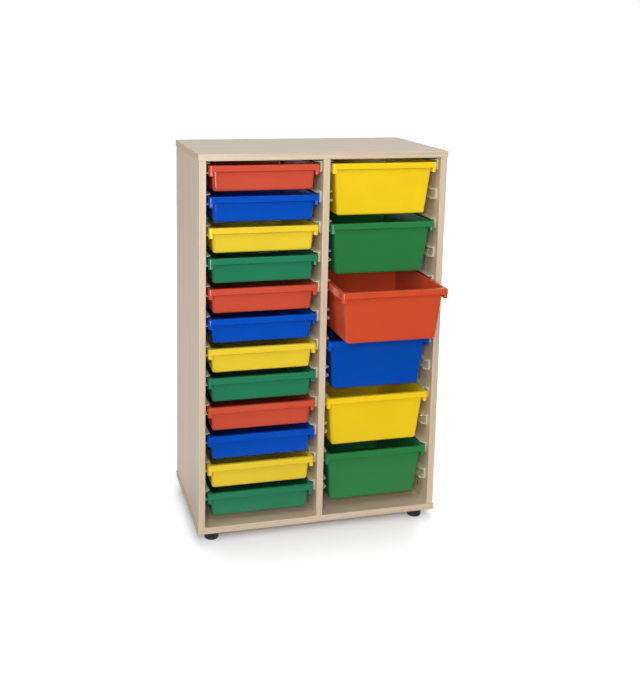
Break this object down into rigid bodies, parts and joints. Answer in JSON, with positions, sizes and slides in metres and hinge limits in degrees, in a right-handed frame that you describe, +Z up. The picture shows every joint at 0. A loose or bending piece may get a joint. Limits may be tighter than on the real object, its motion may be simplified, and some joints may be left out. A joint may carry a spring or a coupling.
{
  "type": "classroom tray storage unit",
  "caption": "Two-bay melamine cabinet on round feet, with shallow trays in one bay and deep trays in the other, sliding on C-section runners.",
  "frame": {"origin": "on the floor, midway across the width, and midway between the drawn deep tray's lip and the cabinet's rear edge", "axes": "+Z up; +X to the right seen from the front; +Y from the open front to the back"},
  "size_m": [0.716, 0.5018, 1.112],
  "materials": {
    "melamine_board": "pale beech-pattern melamine facing, satin",
    "edge_strip": "pale beech-pattern edge strip, satin",
    "back_board": "hardboard with a pale beech-pattern face",
    "black_foot_plastic": "black moulded plastic, fine grain",
    "runner_plastic": "cream moulded plastic",
    "zinc_steel": "bright zinc-plated steel",
    "zinc_alloy": "die-cast zinc alloy",
    "beech_dowel": "plain beech",
    "red_shallow_tray_plastic": "glossy moulded plastic, red",
    "blue_shallow_tray_plastic": "glossy moulded plastic, blue",
    "yellow_shallow_tray_plastic": "glossy moulded plastic, yellow",
    "green_shallow_tray_plastic": "glossy moulded plastic, blue-green",
    "yellow_deep_tray_plastic": "glossy moulded plastic, yellow",
    "green_deep_tray_plastic": "glossy moulded plastic, leaf green",
    "red_deep_tray_plastic": "glossy moulded plastic, red",
    "blue_deep_tray_plastic": "glossy moulded plastic, blue"
  },
  "bodies": {
    "cabinet": {"top_panel": "melamine_board", "bottom_panel": "melamine_board", "left_side_panel": "melamine_board", "right_side_panel": "melamine_board", "centre_divider": "melamine_board", "back_panel": "back_board", "top_panel_edging": "edge_strip", "bottom_panel_edging": "edge_strip", "upright_edging": "edge_strip", "foot_front_left": "black_foot_plastic", "foot_front_right": "black_foot_plastic", "foot_rear_left": "black_foot_plastic", "foot_rear_right": "black_foot_plastic", "foot_screws": "zinc_steel", "cam_housings": "zinc_alloy", "cam_bolts": "zinc_steel", "dowels": "beech_dowel", "runner_screws": "zinc_steel", "left_bay_runners_01": "runner_plastic", "left_bay_runners_02": "runner_plastic", "left_bay_runners_03": "runner_plastic", "left_bay_runners_04": "runner_plastic", "left_bay_runners_05": "runner_plastic", "left_bay_runners_06": "runner_plastic", "left_bay_runners_07": "runner_plastic", "left_bay_runners_08": "runner_plastic", "left_bay_runners_09": "runner_plastic", "left_bay_runners_10": "runner_plastic", "left_bay_runners_11": "runner_plastic", "left_bay_runners_12": "runner_plastic", "right_bay_runners_01": "runner_plastic", "right_bay_runners_02": "runner_plastic", "right_bay_runners_03": "runner_plastic", "right_bay_runners_04": "runner_plastic", "right_bay_runners_05": "runner_plastic", "right_bay_runners_06": "runner_plastic", "right_bay_runners_07": "runner_plastic", "right_bay_runners_08": "runner_plastic", "right_bay_runners_09": "runner_plastic", "right_bay_runners_10": "runner_plastic", "right_bay_runners_11": "runner_plastic", "right_bay_runners_12": "runner_plastic"},
    "shallow_tray_01": {"shallow_tray_01": "red_shallow_tray_plastic"},
    "shallow_tray_02": {"shallow_tray_02": "blue_shallow_tray_plastic"},
    "shallow_tray_03": {"shallow_tray_03": "yellow_shallow_tray_plastic"},
    "shallow_tray_04": {"shallow_tray_04": "green_shallow_tray_plastic"},
    "shallow_tray_05": {"shallow_tray_05": "red_shallow_tray_plastic"},
    "shallow_tray_06": {"shallow_tray_06": "blue_shallow_tray_plastic"},
    "shallow_tray_07": {"shallow_tray_07": "yellow_shallow_tray_plastic"},
    "shallow_tray_08": {"shallow_tray_08": "green_shallow_tray_plastic"},
    "shallow_tray_09": {"shallow_tray_09": "red_shallow_tray_plastic"},
    "shallow_tray_10": {"shallow_tray_10": "blue_shallow_tray_plastic"},
    "shallow_tray_11": {"shallow_tray_11": "yellow_shallow_tray_plastic"},
    "shallow_tray_12": {"shallow_tray_12": "green_shallow_tray_plastic"},
    "deep_tray_01": {"deep_tray_01": "yellow_deep_tray_plastic"},
    "deep_tray_02": {"deep_tray_02": "green_deep_tray_plastic"},
    "deep_tray_03": {"deep_tray_03": "red_deep_tray_plastic"},
    "deep_tray_04": {"deep_tray_04": "blue_deep_tray_plastic"},
    "deep_tray_05": {"deep_tray_05": "yellow_deep_tray_plastic"},
    "deep_tray_06": {"deep_tray_06": "green_deep_tray_plastic"}
  },
  "joints": [
    {"name": "shallow_tray_01_slide", "type": "slide", "parent": "cabinet", "child": "shallow_tray_01", "axis": [0, -1, 0], "range_m": [0, 0.385]},
    {"name": "shallow_tray_02_slide", "type": "slide", "parent": "cabinet", "child": "shallow_tray_02", "axis": [0, -1, 0], "range_m": [0, 0.385]},
    {"name": "shallow_tray_03_slide", "type": "slide", "parent": "cabinet", "child": "shallow_tray_03", "axis": [0, -1, 0], "range_m": [0, 0.385]},
    {"name": "shallow_tray_04_slide", "type": "slide", "parent": "cabinet", "child": "shallow_tray_04", "axis": [0, -1, 0], "range_m": [0, 0.385]},
    {"name": "shallow_tray_05_slide", "type": "slide", "parent": "cabinet", "child": "shallow_tray_05", "axis": [0, -1, 0], "range_m": [0, 0.385]},
    {"name": "shallow_tray_06_slide", "type": "slide", "parent": "cabinet", "child": "shallow_tray_06", "axis": [0, -1, 0], "range_m": [0, 0.385]},
    {"name": "shallow_tray_07_slide", "type": "slide", "parent": "cabinet", "child": "shallow_tray_07", "axis": [0, -1, 0], "range_m": [0, 0.385]},
    {"name": "shallow_tray_08_slide", "type": "slide", "parent": "cabinet", "child": "shallow_tray_08", "axis": [0, -1, 0], "range_m": [0, 0.385]},
    {"name": "shallow_tray_09_slide", "type": "slide", "parent": "cabinet", "child": "shallow_tray_09", "axis": [0, -1, 0], "range_m": [0, 0.385]},
    {"name": "shallow_tray_10_slide", "type": "slide", "parent": "cabinet", "child": "shallow_tray_10", "axis": [0, -1, 0], "range_m": [0, 0.385]},
    {"name": "shallow_tray_11_slide", "type": "slide", "parent": "cabinet", "child": "shallow_tray_11", "axis": [0, -1, 0], "range_m": [0, 0.385]},
    {"name": "shallow_tray_12_slide", "type": "slide", "parent": "cabinet", "child": "shallow_tray_12", "axis": [0, -1, 0], "range_m": [0, 0.385]},
    {"name": "deep_tray_01_slide", "type": "slide", "parent": "cabinet", "child": "deep_tray_01", "axis": [0, -1, 0], "range_m": [0, 0.385]},
    {"name": "deep_tray_02_slide", "type": "slide", "parent": "cabinet", "child": "deep_tray_02", "axis": [0, -1, 0], "range_m": [0, 0.385]},
    {"name": "deep_tray_03_slide", "type": "slide", "parent": "cabinet", "child": "deep_tray_03", "axis": [0, -1, 0], "range_m": [-0.112, 0.273]},
    {"name": "deep_tray_04_slide", "type": "slide", "parent": "cabinet", "child": "deep_tray_04", "axis": [0, -1, 0], "range_m": [0, 0.385]},
    {"name": "deep_tray_05_slide", "type": "slide", "parent": "cabinet", "child": "deep_tray_05", "axis": [0, -1, 0], "range_m": [0, 0.385]},
    {"name": "deep_tray_06_slide", "type": "slide", "parent": "cabinet", "child": "deep_tray_06", "axis": [0, -1, 0], "range_m": [0, 0.385]}
  ]
}
